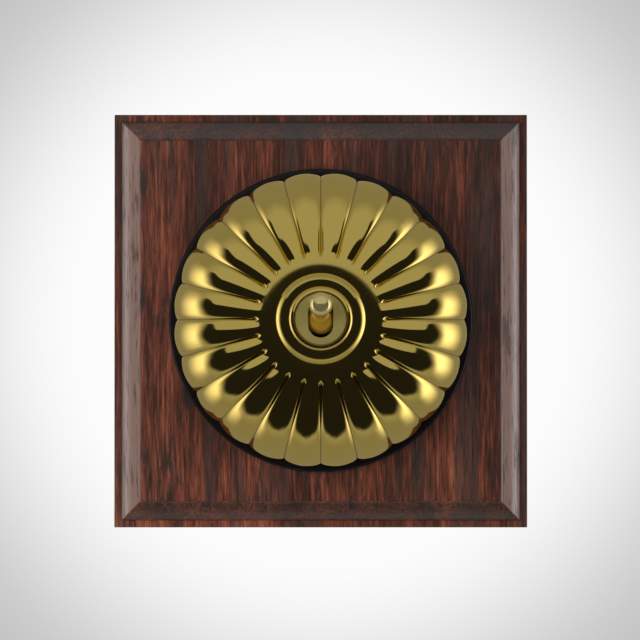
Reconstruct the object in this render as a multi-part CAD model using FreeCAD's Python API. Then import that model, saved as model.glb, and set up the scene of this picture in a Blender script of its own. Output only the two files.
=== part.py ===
import FreeCAD, Part
import math
import os

# A period light switch: a fluted brass dome and a toggle lever (the dolly) on a round black base, fixed to
# a square moulded oak block.
# Bench frame, in millimetres: x to the right, y up, z out from the wall, with the origin in the middle of the
# block's back face. save() stands each piece up, so that the switch faces -Y with +Z up.

# Oak block
BLOCK_SIDE = 100.0
BLOCK_DEPTH = 18.0
MARGIN_WIDTH = 1.75
OVOLO_SIZE = 4.3
OVOLO_BULGE = 0.5
OVOLO_STEP = 0.7
QUIRK_WIDTH = 0.6
QUIRK_HEIGHT = 1.0
WIRING_WIDTH = 40.0
WIRING_CORNER = 6.0
WIRING_MARGIN = 0.5
WALL_HOLE_SPACING = 60.3
WALL_HOLE_RADIUS = 2.1

# Black base
BASE_DIAMETER = 73.0
BASE_THICKNESS = 4.0
BASE_EDGE_ROUND = 1.0
SPIGOT_HEIGHT = 2.0
SPIGOT_WALL = 1.6
SPIGOT_CLEARANCE = 0.3
CABLE_SLOT_WIDTH = 18.0
CABLE_SLOT_HEIGHT = 7.5
CABLE_SLOT_MARGIN = 1.0
SCREW_BOSS_WALL = 1.7
SCREW_BOSS_DEPTH = 4.5
WALL_SCREW_HEAD_RADIUS = 3.6
WALL_SCREW_RECESS = 1.5

# Fluted dome: one arc along the lobes' crests from the land to a rounded edge, then a straight skirt. A lobe
# falls from its ridge to sharp valleys; the knee is how far across it the ridge's rounding reaches, and from
# the brink on it steepens into the valley.
DOME_DIAMETER = 70.2
EDGE_SLOPE = 62.0
EDGE_ROUND = 1.2
DOME_WALL = 0.8
FLUTE_COUNT = 24
FLUTE_DEPTH = 1.3
FLUTE_RIM_DEPTH = 0.95
FLUTE_INNER_KNEE = 0.25
FLUTE_OUTER_KNEE = 1.0
FLUTE_BRINK = 0.7
FLUTE_BRINK_FALL = 0.22
FLUTE_INNER_RADIUS = 14.3
FLUTE_RUNOUT = 1.8
LAND_RADIUS = 12.1
BOSS_RADIUS = 10.8
BOSS_ROUND = 1.5
BOSS_BULGE = 0.2
FLUTE_STEPS_ACROSS = 12
FLUTE_STEPS_FADE = 3
FLUTE_STEPS_OUT = 6
FLUTE_STEPS_EDGE = 2

# Bush and ring nut, on a half-inch brass thread
THREAD_RADIUS = 6.35
THREAD_CLEARANCE = 0.05
DOME_HOLE_CLEARANCE = 0.45
RING_WALL = 1.2
RING_HEIGHT = 2.6
RING_ROUND = 1.1
RING_BULGE = 0.15
BUSH_FACE_RECESS = 0.7
BUSH_CHAMFER = 0.35
BUSH_BORE_RADIUS = 4.7
BUSH_DISC = 1.0
BUSH_FLANGE_WIDTH = 1.65
BUSH_FLANGE_HEIGHT = 1.2
BUSH_SPIGOT_WALL = 0.9
SLOT_WIDTH = 5.8
SLOT_LENGTH = 8.8

# Dolly
DOLLY_SWING = 14.0
PIVOT_BELOW_FACE = 3.6
BALL_RADIUS = 2.8
BALL_REACH = 13.2
NECK_RADIUS = 1.45
STEM_RADIUS = 1.65
COLLAR_RADIUS = 1.95
COLLAR_WIDTH = 0.9
COLLAR_REACH = 5.1
HUB_RADIUS = 3.75
TAIL_RADIUS = 2.1
TAIL_REACH = 7.6
TAIL_BORE_DEPTH = 5.7
PIN_RADIUS = 0.8
PIN_RUNNING_CLEARANCE = 0.05
PIN_END_INSET = 0.15

# Plunger, its spring and the rocker that it throws over
PLUNGER_RADIUS = 1.1
PLUNGER_CLEARANCE = 0.1
PLUNGER_REACH = 10.4
PLUNGER_SPARE = 0.1
PLUNGER_GUIDE = 2.4
SPRING_WIRE_RADIUS = 0.17
SPRING_SIDE_CLEARANCE = 0.15
SPRING_END_CLEARANCE = 0.05
SPRING_TURNS = 5
ROCKER_ARM = 7.0
ROCKER_WIDTH = 5.2
ROCKER_HUB_RADIUS = 1.9
ROCKER_STEM_WIDTH = 3.0
ROCKER_HEAD_WIDTH = 5.8
ROCKER_HEAD_HEIGHT = 2.0
ROCKER_HEAD_RISE = 0.6
NOSE_CLEARANCE = 0.15
ARM_LENGTH = 9.0
ARM_THICKNESS = 1.2
CONTACT_REACH = 7.2
CONTACT_RADIUS = 1.5
CONTACT_HEIGHT = 0.8
CONTACT_GAP = 0.15

# Mechanism body, plates and terminals
BODY_WIDTH = 30.0
BODY_CORNER = 3.0
BODY_FLOOR = 2.1
BODY_END_WALL = 2.5
CHAMBER_END_GAP = 2.0
CHAMBER_SIDE_GAP = 0.5
PLATE_THICKNESS = 0.8
PLATE_HOLE_CLEARANCE = 0.5
YOKE_THICKNESS = 1.2
YOKE_BELOW_PIVOT = 6.1
EARTH_LEG_DROP = 5.0
EARTH_LEG_GAP = 0.2
EARTH_TAB_LENGTH = 7.2
EARTH_TAB_WIDTH = 8.0
EARTH_SCREW_DEPTH = 5.0
STRIP_THICKNESS = 1.0
STRIP_WIDTH = 6.0
STRIP_CLEARANCE = 0.1
STRIP_START = 5.6
SHELF_WIDTH = 11.0
SHELF_REACH = 6.5
TERMINAL_SCREW_REACH = 3.5
TERMINAL_END_MARGIN = 0.5
BRACKET_EAR = 1.0
BRACKET_SIDE_GAP = 0.3
BRACKET_FOOT = 4.0
BRACKET_EAR_RADIUS = 1.8

# Screws and washers
SCREW_RADIUS = 1.5
SCREW_CLEARANCE = 0.1
SCREW_HEAD_RADIUS = 2.7
SCREW_HEAD_HEIGHT = 1.8
SCREW_SLOT_WIDTH = 0.8
SCREW_SLOT_DEPTH = 0.8
SCREW_END_ROOM = 0.5
YOKE_SCREW_INSET_X = 4.5
YOKE_SCREW_INSET_Y = 4.0
WOOD_SCREW_RADIUS = 1.6
WOOD_SCREW_HEAD_RADIUS = 3.0
WOOD_SCREW_LENGTH = 14.0
WOOD_SCREW_POINT = 3.0
WOOD_SCREW_MARGIN = 4.5
WOOD_SCREW_Y = 13.0
WASHER_RADIUS = 3.0
WASHER_THICKNESS = 0.8

# Throw of the rocker: the plunger's nose meets it at the same point at either end of the dolly's swing
SWING = math.radians(DOLLY_SWING)
ROCKER_SWING = math.asin(PLUNGER_REACH * math.sin(SWING) / ROCKER_ARM)
THROW_HEIGHT = PLUNGER_REACH * math.cos(SWING) + ROCKER_ARM * math.cos(ROCKER_SWING)
PLUNGER_TRAVEL = PLUNGER_REACH + ROCKER_ARM - THROW_HEIGHT + PLUNGER_SPARE
PLUNGER_TIP = PLUNGER_REACH - PLUNGER_TRAVEL
NOSE_OFFSET = PLUNGER_RADIUS * math.sin(SWING + ROCKER_SWING)
NOSE_HEIGHT = PLUNGER_RADIUS * math.cos(SWING + ROCKER_SWING)

# Levels above the wall, from the base up through the mechanism to the dome that covers it
RIM_LEVEL = BLOCK_DEPTH + BASE_THICKNESS
CHAMBER_FLOOR = RIM_LEVEL + BODY_FLOOR
STRIP_TOP = CHAMBER_FLOOR + STRIP_THICKNESS
ROCKER_LEVEL = STRIP_TOP + CONTACT_HEIGHT + CONTACT_GAP + CONTACT_HEIGHT + ARM_THICKNESS / 2
PIVOT_LEVEL = ROCKER_LEVEL + THROW_HEIGHT
YOKE_TOP = PIVOT_LEVEL - YOKE_BELOW_PIVOT
YOKE_BOTTOM = YOKE_TOP - YOKE_THICKNESS
BODY_TOP = YOKE_BOTTOM - PLATE_THICKNESS
EARTH_TAB_TOP = YOKE_BOTTOM - EARTH_LEG_DROP
BUSH_FACE = PIVOT_LEVEL + PIVOT_BELOW_FACE
RING_TOP = BUSH_FACE + BUSH_FACE_RECESS
BOSS_LEVEL = RING_TOP - RING_HEIGHT
LAND_LEVEL = BOSS_LEVEL - BOSS_ROUND

# Dome's cap, its rounded edge and its smooth inside
CREST_RADIUS = DOME_DIAMETER / 2
FLUTE_HALF = 180.0 / FLUTE_COUNT
EDGE_TURN = math.radians(EDGE_SLOPE)
CAP_ROUND = (CREST_RADIUS - EDGE_ROUND - LAND_RADIUS) / math.sin(EDGE_TURN) + EDGE_ROUND
CAP_CENTRE = LAND_LEVEL - CAP_ROUND
FLUTE_INNER_TURN = math.asin((FLUTE_INNER_RADIUS - LAND_RADIUS) / CAP_ROUND)
EDGE_CENTRE = CAP_CENTRE + (CAP_ROUND - EDGE_ROUND) * math.cos(EDGE_TURN)
CAVITY_RADIUS = CREST_RADIUS - FLUTE_DEPTH - DOME_WALL
CAVITY_ROUND = CAP_ROUND - FLUTE_DEPTH - DOME_WALL
SPIGOT_RADIUS = CAVITY_RADIUS - SPIGOT_CLEARANCE

# Plan of the mechanism and of the fixings
BRACKET_WIDTH = ROCKER_WIDTH + 2 * (BRACKET_SIDE_GAP + BRACKET_EAR)
CHAMBER_WIDTH = BRACKET_WIDTH + 2 * CHAMBER_SIDE_GAP
CHAMBER_HEIGHT = 2 * (ARM_LENGTH + CHAMBER_END_GAP)
BODY_HEIGHT = CHAMBER_HEIGHT + 2 * BODY_END_WALL
SHELF_END_X = BODY_WIDTH / 2 + SHELF_REACH
SHELF_END_Y = BODY_HEIGHT / 2 + SHELF_REACH
CABLE_SLOT_DROP = SHELF_END_Y + CABLE_SLOT_MARGIN + CABLE_SLOT_HEIGHT / 2
WIRING_HEIGHT = 2 * (CABLE_SLOT_DROP + CABLE_SLOT_HEIGHT / 2 + WIRING_MARGIN)
TERMINAL_X = BODY_WIDTH / 2 + TERMINAL_SCREW_REACH
TERMINAL_Y = BODY_HEIGHT / 2 + TERMINAL_SCREW_REACH
YOKE_SCREW_X = BODY_WIDTH / 2 - YOKE_SCREW_INSET_X
YOKE_SCREW_Y = BODY_HEIGHT / 2 - YOKE_SCREW_INSET_Y
WOOD_SCREW_X = WIRING_WIDTH / 2 + WOOD_SCREW_MARGIN
EARTH_LEG_X = -BODY_WIDTH / 2 - EARTH_LEG_GAP
EARTH_TAB_END = EARTH_LEG_X - EARTH_TAB_LENGTH
EARTH_SCREW = ((EARTH_LEG_X - YOKE_THICKNESS + EARTH_TAB_END) / 2, 0.0)
TERMINALS = [(0.0, TERMINAL_Y), (0.0, -TERMINAL_Y), (TERMINAL_X, 0.0)]
YOKE_SCREWS = [(-YOKE_SCREW_X, YOKE_SCREW_Y), (YOKE_SCREW_X, -YOKE_SCREW_Y)]
WOOD_SCREWS = [(WOOD_SCREW_X, WOOD_SCREW_Y), (-WOOD_SCREW_X, -WOOD_SCREW_Y)]
WALL_HOLES = [(-WALL_HOLE_SPACING / 2, 0.0), (WALL_HOLE_SPACING / 2, 0.0)]

ORIGIN = FreeCAD.Vector(0, 0, 0)
ACROSS = FreeCAD.Vector(1, 0, 0)
UP = FreeCAD.Vector(0, 1, 0)
OUT = FreeCAD.Vector(0, 0, 1)
FULL_TURN = 360.0
HALF_TURN = 180.0
RIGHT_ANGLE = 90.0
DIAGONAL = math.radians(45)


def vector(x, y, z):
    return FreeCAD.Vector(x, y, z)


def line(start, end):
    """A straight edge in the x-z plane."""
    return Part.makeLine(vector(start[0], 0, start[1]), vector(end[0], 0, end[1]))


def arc(start, through, end):
    """A round edge in the x-z plane."""
    return Part.Arc(*[vector(x, 0, z) for x, z in (start, through, end)]).toShape()


def on_arc(centre, radius, angle):
    """The point of an arc at an angle from the x axis, in radians."""
    return (centre[0] + radius * math.cos(angle), centre[1] + radius * math.sin(angle))


def bulged(corner, size, bulge):
    """The middle of a corner that is eased off as much across as up, a little proud of a chamfer."""
    return on_arc(corner, size * math.cos(DIAGONAL) + bulge, DIAGONAL)


def outline(start, *moves):
    """A closed outline in the x-z plane. A move is the next corner, or an arc's middle point and its end."""
    edges = []
    here = start
    for move in moves:
        if isinstance(move[0], tuple):
            through, end = move
            edges.append(arc(here, through, end))
        else:
            end = move
            edges.append(line(here, end))
        here = end
    edges.append(line(here, start))
    return Part.Face(Part.Wire(edges))


def turned(*path):
    """A piece turned round the z axis from its outline."""
    return outline(*path).revolve(ORIGIN, OUT, FULL_TURN)


def block(width, height, bottom, top, centre=(0.0, 0.0)):
    """A box by its size across and up, its levels and its centre."""
    corner = vector(centre[0] - width / 2, centre[1] - height / 2, bottom)
    return Part.makeBox(width, height, top - bottom, corner)


def rounded_block(width, height, bottom, top, radius):
    """A box round the axis with its four upright edges rounded."""
    box = block(width, height, bottom, top)
    upright = [edge for edge in box.Edges if edge.tangentAt(edge.FirstParameter).cross(OUT).Length < DIAGONAL]
    return box.makeFillet(radius, upright)


def post(place, radius, bottom, top):
    """A round post that stands out from the wall."""
    return Part.makeCylinder(radius, top - bottom, vector(place[0], place[1], bottom), OUT)


def posts(places, radius, bottom, top):
    return [post(place, radius, bottom, top) for place in places]


def cross_rod(radius, length, level, height=0.0):
    """A rod from left to right, centred on the middle plane."""
    return Part.makeCylinder(radius, length, vector(-length / 2, height, level), ACROSS)


def tilted(shape):
    """A piece drawn from the dolly's pivot with the dolly straight out, swung up to the dolly's rest."""
    return shape.rotated(ORIGIN, ACROSS, -DOLLY_SWING).translated(OUT * PIVOT_LEVEL)


def rocked(shape):
    """A piece drawn from the rocker's pin with the rocker upright, swung to the rocker's rest."""
    return shape.rotated(ORIGIN, ACROSS, math.degrees(ROCKER_SWING)).translated(OUT * ROCKER_LEVEL)


def save(name, *solids):
    """Stand a piece up against the wall and write it."""
    upright = [solid.rotated(ORIGIN, ACROSS, RIGHT_ANGLE) for solid in solids]
    shape = upright[0] if len(upright) == 1 else Part.makeCompound(upright)
    shape.exportStep("parts/" + name + ".step")
    print(name, len(shape.Solids), shape.isValid(), round(shape.Volume, 2))


def moulding_run():
    """The block's section with its margins, ovolos and quirks, run along y."""
    side = BLOCK_SIDE / 2
    margin = side - MARGIN_WIDTH
    quirk = margin - OVOLO_SIZE
    field = quirk - QUIRK_WIDTH
    quirk_level = BLOCK_DEPTH - QUIRK_HEIGHT
    spring_level = quirk_level - OVOLO_SIZE
    margin_level = spring_level - OVOLO_STEP
    middle = bulged((quirk, spring_level), OVOLO_SIZE, OVOLO_BULGE)
    face = outline(
        (-side, 0), (side, 0), (side, margin_level), (margin, margin_level), (margin, spring_level),
        (middle, (quirk, quirk_level)),
        (field, BLOCK_DEPTH), (-field, BLOCK_DEPTH), (-quirk, quirk_level),
        ((-middle[0], middle[1]), (-margin, spring_level)),
        (-margin, margin_level), (-side, margin_level))
    return face.extrude(UP * BLOCK_SIDE).translated(UP * (-side))


def oak_block():
    run = moulding_run()
    wood = run.common(run.rotated(ORIGIN, OUT, RIGHT_ANGLE))
    pilot_end = RIM_LEVEL - WOOD_SCREW_LENGTH - SCREW_END_ROOM
    cuts = posts(WALL_HOLES, WALL_HOLE_RADIUS, 0, BLOCK_DEPTH)
    cuts += posts(WOOD_SCREWS, WOOD_SCREW_RADIUS, pilot_end, BLOCK_DEPTH)
    cuts.append(rounded_block(WIRING_WIDTH, WIRING_HEIGHT, 0, BLOCK_DEPTH, WIRING_CORNER))
    return wood.cut(cuts)


def mount_base():
    rim = BASE_DIAMETER / 2
    edge = (rim - BASE_EDGE_ROUND, RIM_LEVEL - BASE_EDGE_ROUND)
    spigot_top = RIM_LEVEL + SPIGOT_HEIGHT
    spigot_inside = SPIGOT_RADIUS - SPIGOT_WALL
    disc = turned(
        (0, BLOCK_DEPTH), (rim, BLOCK_DEPTH), (rim, edge[1]),
        (on_arc(edge, BASE_EDGE_ROUND, DIAGONAL), (edge[0], RIM_LEVEL)),
        (SPIGOT_RADIUS, RIM_LEVEL), (SPIGOT_RADIUS, spigot_top), (spigot_inside, spigot_top),
        (spigot_inside, RIM_LEVEL), (0, RIM_LEVEL))
    boss_end = BLOCK_DEPTH - SCREW_BOSS_DEPTH
    base = disc.fuse(posts(YOKE_SCREWS, SCREW_RADIUS + SCREW_BOSS_WALL, boss_end, RIM_LEVEL)).removeSplitter()
    cuts = posts(YOKE_SCREWS, SCREW_RADIUS, boss_end + SCREW_END_ROOM, RIM_LEVEL)
    cuts += posts(WALL_HOLES, WALL_HOLE_RADIUS, BLOCK_DEPTH, RIM_LEVEL)
    cuts += posts(WALL_HOLES, WALL_SCREW_HEAD_RADIUS, RIM_LEVEL - WALL_SCREW_RECESS, spigot_top)
    cuts += posts(WOOD_SCREWS, WOOD_SCREW_RADIUS, BLOCK_DEPTH, RIM_LEVEL)
    cuts += [wood_screw_head(place) for place in WOOD_SCREWS]
    slot_end = (CABLE_SLOT_WIDTH - CABLE_SLOT_HEIGHT) / 2
    slot_ends = [(-slot_end, -CABLE_SLOT_DROP), (slot_end, -CABLE_SLOT_DROP)]
    cuts += posts(slot_ends, CABLE_SLOT_HEIGHT / 2, BLOCK_DEPTH, RIM_LEVEL)
    cuts.append(block(2 * slot_end, CABLE_SLOT_HEIGHT, BLOCK_DEPTH, RIM_LEVEL, (0.0, -CABLE_SLOT_DROP)))
    return base.cut(cuts)


def wood_screw_head(place):
    """The countersunk cone of a wood screw, flush with the base."""
    height = WOOD_SCREW_HEAD_RADIUS - WOOD_SCREW_RADIUS
    foot = vector(place[0], place[1], RIM_LEVEL - height)
    return Part.makeCone(WOOD_SCREW_RADIUS, WOOD_SCREW_HEAD_RADIUS, height, foot, OUT)


def driver_slot(place, head_radius, top):
    """The cut for a flat driver across a screw's head."""
    return block(2 * head_radius, SCREW_SLOT_WIDTH, top - SCREW_SLOT_DEPTH, top, place)


def wood_screw(place):
    tip = RIM_LEVEL - WOOD_SCREW_LENGTH
    shank = post(place, WOOD_SCREW_RADIUS, tip + WOOD_SCREW_POINT, RIM_LEVEL)
    point = Part.makeCone(0, WOOD_SCREW_RADIUS, WOOD_SCREW_POINT, vector(place[0], place[1], tip), OUT)
    screw = wood_screw_head(place).fuse([shank, point]).removeSplitter()
    return screw.cut(driver_slot(place, WOOD_SCREW_HEAD_RADIUS, RIM_LEVEL))


def machine_screw(place, seat, tip):
    """A round-headed screw with its head on the seat and its shank down to the tip."""
    top = seat + SCREW_HEAD_HEIGHT
    head = post(place, SCREW_HEAD_RADIUS, seat, top)
    top_edge = max(head.Edges, key=lambda edge: edge.CenterOfMass.z)
    head = head.makeFillet(SCREW_HEAD_HEIGHT - SCREW_SLOT_DEPTH, [top_edge])
    shank = post(place, SCREW_RADIUS, tip, seat)
    return head.fuse(shank).cut(driver_slot(place, SCREW_HEAD_RADIUS, top))


def clamp_washer(place, seat):
    ring = post(place, WASHER_RADIUS, seat, seat + WASHER_THICKNESS)
    return ring.cut(post(place, SCREW_RADIUS + SCREW_CLEARANCE, seat, seat + WASHER_THICKNESS))


def on_cap(size, turn):
    """The point of an arc about the crests' centre, turned so far from the axis's direction, in radians."""
    return on_arc((LAND_RADIUS, CAP_CENTRE), size, math.pi / 2 - turn)


def flute_point(turn, angle):
    """A point of the dome's outside. The turn is how far the crest there leans from the axis, in radians, and
    the angle runs across the lobe, in degrees."""
    if turn > EDGE_TURN:
        crest = on_arc((CREST_RADIUS - EDGE_ROUND, EDGE_CENTRE), EDGE_ROUND, math.pi / 2 - turn)
    else:
        crest = on_cap(CAP_ROUND, turn)
    run = min((crest[0] - FLUTE_INNER_RADIUS) / FLUTE_RUNOUT, 1.0)
    fade = run * run * (3 - 2 * run)
    share = (crest[0] - FLUTE_INNER_RADIUS) / (CREST_RADIUS - FLUTE_INNER_RADIUS)
    knee = FLUTE_INNER_KNEE + (FLUTE_OUTER_KNEE - FLUTE_INNER_KNEE) * share
    off_ridge = abs(angle) / FLUTE_HALF
    rounding = 2 * knee / math.pi
    fall = rounding * (1 - math.cos(min(off_ridge / rounding, math.pi / 2))) + max(off_ridge - knee, 0.0)
    fall += FLUTE_BRINK_FALL * (max(off_ridge - FLUTE_BRINK, 0.0) / (1 - FLUTE_BRINK)) ** 2
    full_depth = FLUTE_DEPTH + (FLUTE_RIM_DEPTH - FLUTE_DEPTH) * share
    depth = full_depth * fade * fall / (rounding + 1 - knee + FLUTE_BRINK_FALL)
    radius = crest[0] - depth * math.sin(turn)
    level = crest[1] - depth * math.cos(turn)
    return vector(radius * math.cos(math.radians(angle)), radius * math.sin(math.radians(angle)), level)


def lobe_section(turn):
    """The line across one lobe, from valley to valley. Where the flutes begin it is a plain arc."""
    angles = [FLUTE_HALF * (2 * step / FLUTE_STEPS_ACROSS - 1) for step in range(FLUTE_STEPS_ACROSS + 1)]
    points = [flute_point(turn, angle) for angle in angles]
    if turn == FLUTE_INNER_TURN:
        return Part.Wire(Part.Arc(points[0], flute_point(turn, 0.0), points[-1]).toShape())
    curve = Part.BSplineCurve()
    curve.interpolate(points)
    return Part.Wire(curve.toShape())


def lobe_face(inner_turn, outer_turn, steps):
    """The part of a lobe between two turns of the crest."""
    turns = [inner_turn + (outer_turn - inner_turn) * step / steps for step in range(steps + 1)]
    return Part.makeLoft([lobe_section(turn) for turn in turns], False, False).Faces[0]


def lowest_edge(face):
    return min(face.Edges, key=lambda edge: edge.CenterOfMass.z)


def petal():
    """One lobe of the dome's outside with its share of the shoulder, the boss, the skirt and the flat rim."""
    fade_turn = math.asin((FLUTE_INNER_RADIUS + FLUTE_RUNOUT - LAND_RADIUS) / CAP_ROUND)
    faces = [lobe_face(FLUTE_INNER_TURN, fade_turn, FLUTE_STEPS_FADE),
             lobe_face(fade_turn, EDGE_TURN, FLUTE_STEPS_OUT),
             lobe_face(EDGE_TURN, math.pi / 2, FLUTE_STEPS_EDGE)]
    faces.append(lowest_edge(faces[-1]).extrude(vector(0, 0, RIM_LEVEL - EDGE_CENTRE)))
    rim = lowest_edge(faces[-1])
    hub = vector(0, 0, RIM_LEVEL)
    spokes = [Part.makeLine(rim.Vertexes[-1].Point, hub), Part.makeLine(hub, rim.Vertexes[0].Point)]
    faces.append(Part.Face(Part.Wire([rim] + spokes)))
    boss_top = BOSS_RADIUS - BOSS_ROUND
    boss_middle = bulged((boss_top, LAND_LEVEL), BOSS_ROUND, BOSS_BULGE)
    neck = [
        arc(*(on_cap(CAP_ROUND, FLUTE_INNER_TURN * share) for share in (1.0, 0.5, 0.0))),
        line((LAND_RADIUS, LAND_LEVEL), (BOSS_RADIUS, LAND_LEVEL)),
        arc((BOSS_RADIUS, LAND_LEVEL), boss_middle, (boss_top, BOSS_LEVEL)),
        line((boss_top, BOSS_LEVEL), (0, BOSS_LEVEL))]
    for edge in neck:
        faces += edge.rotated(ORIGIN, OUT, -FLUTE_HALF).revolve(ORIGIN, OUT, 2 * FLUTE_HALF).Faces
    return faces


def dome_cover():
    """The fluted outside, closed from its petals, with the smooth inside and the bush hole taken out."""
    one = petal()
    faces = []
    for lobe in range(FLUTE_COUNT):
        faces += [face.rotated(ORIGIN, OUT, (2 * lobe + 1) * FLUTE_HALF) for face in one]
    outside = Part.makeSolid(Part.makeShell(faces)).removeSplitter()
    cavity_turn = math.asin((CAVITY_RADIUS - LAND_RADIUS) / CAVITY_ROUND)
    ceiling = on_cap(CAVITY_ROUND, 0.0)
    cavity = turned(
        (0.0, RIM_LEVEL), (CAVITY_RADIUS, RIM_LEVEL), on_cap(CAVITY_ROUND, cavity_turn),
        (on_cap(CAVITY_ROUND, cavity_turn / 2), ceiling), (0.0, ceiling[1]))
    hole = post((0.0, 0.0), THREAD_RADIUS + DOME_HOLE_CLEARANCE, RIM_LEVEL, BOSS_LEVEL)
    return outside.cut([cavity, hole])


def cover_ring():
    """The ring nut that clamps the dome, with a rounded front edge."""
    bore = THREAD_RADIUS + THREAD_CLEARANCE
    rim = bore + RING_WALL
    corner = (rim - RING_ROUND, RING_TOP - RING_ROUND)
    return turned(
        (bore, BOSS_LEVEL), (rim, BOSS_LEVEL), (rim, corner[1]),
        (bulged(corner, RING_ROUND, RING_BULGE), (corner[0], RING_TOP)), (bore, RING_TOP))


def bush():
    """The threaded bush: a spigot in the yoke, a flange on it, a barrel and a slotted front disc."""
    spigot = BUSH_BORE_RADIUS + BUSH_SPIGOT_WALL
    flange = THREAD_RADIUS + BUSH_FLANGE_WIDTH
    flange_top = YOKE_TOP + BUSH_FLANGE_HEIGHT
    barrel = turned(
        (BUSH_BORE_RADIUS, YOKE_BOTTOM), (spigot, YOKE_BOTTOM), (spigot, YOKE_TOP), (flange, YOKE_TOP),
        (flange, flange_top), (THREAD_RADIUS, flange_top), (THREAD_RADIUS, BUSH_FACE - BUSH_CHAMFER),
        (THREAD_RADIUS - BUSH_CHAMFER, BUSH_FACE), (0, BUSH_FACE), (0, BUSH_FACE - BUSH_DISC),
        (BUSH_BORE_RADIUS, BUSH_FACE - BUSH_DISC))
    slot_end = (SLOT_LENGTH - SLOT_WIDTH) / 2
    cuts = posts([(0.0, slot_end), (0.0, -slot_end)], SLOT_WIDTH / 2, BUSH_FACE - BUSH_DISC, BUSH_FACE)
    cuts.append(block(SLOT_WIDTH, 2 * slot_end, BUSH_FACE - BUSH_DISC, BUSH_FACE))
    cuts.append(cross_rod(PIN_RADIUS, 2 * THREAD_RADIUS, PIVOT_LEVEL))
    return barrel.cut(cuts)


def pivot_pin():
    return cross_rod(PIN_RADIUS, 2 * (THREAD_RADIUS - PIN_END_INSET), PIVOT_LEVEL)


def dolly():
    """The lever: ball, tapered neck, collar, ball hub on the pin, and a hollow tail for the plunger."""
    ball_foot = BALL_REACH - math.sqrt(BALL_RADIUS ** 2 - NECK_RADIUS ** 2)
    hub_top = math.sqrt(HUB_RADIUS ** 2 - STEM_RADIUS ** 2)
    hub_foot = -math.sqrt(HUB_RADIUS ** 2 - TAIL_RADIUS ** 2)
    lever = turned(
        (0, -TAIL_REACH), (TAIL_RADIUS, -TAIL_REACH), (TAIL_RADIUS, hub_foot),
        ((HUB_RADIUS, 0), (STEM_RADIUS, hub_top)),
        (STEM_RADIUS, COLLAR_REACH - COLLAR_WIDTH / 2),
        ((COLLAR_RADIUS, COLLAR_REACH), (STEM_RADIUS, COLLAR_REACH + COLLAR_WIDTH / 2)),
        (NECK_RADIUS, ball_foot), ((BALL_RADIUS, BALL_REACH), (0, BALL_REACH + BALL_RADIUS)))
    bore = PLUNGER_RADIUS + PLUNGER_CLEARANCE
    cuts = [post((0.0, 0.0), bore, -TAIL_REACH, TAIL_BORE_DEPTH - TAIL_REACH)]
    cuts.append(cross_rod(PIN_RADIUS + PIN_RUNNING_CLEARANCE, 2 * HUB_RADIUS, 0))
    return tilted(lever.cut(cuts))


def plunger():
    """The sprung nose, drawn in to the length at which it passes over the rocker's middle."""
    nose = (0, PLUNGER_RADIUS - PLUNGER_TIP)
    return tilted(turned(
        (0, -PLUNGER_TIP), (on_arc(nose, PLUNGER_RADIUS, -DIAGONAL), (PLUNGER_RADIUS, nose[1])),
        (PLUNGER_RADIUS, PLUNGER_GUIDE - TAIL_REACH), (0, PLUNGER_GUIDE - TAIL_REACH)))


def plunger_spring():
    """A coil between the end of the tail's bore and the plunger."""
    radius = PLUNGER_RADIUS + PLUNGER_CLEARANCE - SPRING_SIDE_CLEARANCE - SPRING_WIRE_RADIUS
    end_room = SPRING_END_CLEARANCE + SPRING_WIRE_RADIUS
    bottom = PLUNGER_GUIDE - TAIL_REACH + end_room
    height = TAIL_BORE_DEPTH - PLUNGER_GUIDE - 2 * end_room
    helix = Part.makeHelix(height / SPRING_TURNS, height, radius)
    wire_end = Part.makeCircle(SPRING_WIRE_RADIUS, vector(radius, 0, 0), UP)
    coil = Part.Wire(helix).makePipeShell([Part.Wire(wire_end)], True, True)
    return tilted(coil.translated(OUT * bottom))


def on_arm(shape, side):
    """A piece drawn on an arm that runs up from the rocker's pin, set on the upper or the lower arm."""
    turn = 0.0 if side > 0 else HALF_TURN
    return shape.rotated(ORIGIN, OUT, turn).rotated(ORIGIN, ACROSS, side * math.degrees(ROCKER_SWING))


def rocker():
    """The moving contact arm: two raised arms, a stem, and a head with a trough for the plunger's nose."""
    head_top = ROCKER_ARM + ROCKER_HEAD_RISE
    head_bottom = head_top - ROCKER_HEAD_HEIGHT
    arm = block(ROCKER_WIDTH, ARM_LENGTH, -ARM_THICKNESS / 2, ARM_THICKNESS / 2, (0.0, ARM_LENGTH / 2))
    pieces = [
        block(ROCKER_WIDTH, ROCKER_STEM_WIDTH, 0, head_bottom),
        block(ROCKER_WIDTH, ROCKER_HEAD_WIDTH, head_bottom, head_top),
        on_arm(arm, 1), on_arm(arm, -1)]
    whole = cross_rod(ROCKER_HUB_RADIUS, ROCKER_WIDTH, 0).fuse(pieces).removeSplitter()
    seat = PLUNGER_RADIUS + NOSE_CLEARANCE
    nose = ROCKER_ARM + NOSE_HEIGHT
    cuts = [cross_rod(seat, ROCKER_WIDTH, nose, side * NOSE_OFFSET) for side in (1, -1)]
    cuts.append(block(ROCKER_WIDTH, 2 * NOSE_OFFSET, nose - seat, nose))
    cuts.append(cross_rod(PIN_RADIUS + PIN_RUNNING_CLEARANCE, ROCKER_WIDTH, 0))
    return rocked(whole.cut(cuts))


def moving_contact(side):
    under_arm = -ARM_THICKNESS / 2
    button = post((0.0, CONTACT_REACH), CONTACT_RADIUS, under_arm - CONTACT_HEIGHT, under_arm)
    return rocked(on_arm(button, side))


def rocker_pin():
    return cross_rod(PIN_RADIUS, BRACKET_WIDTH, ROCKER_LEVEL)


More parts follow.
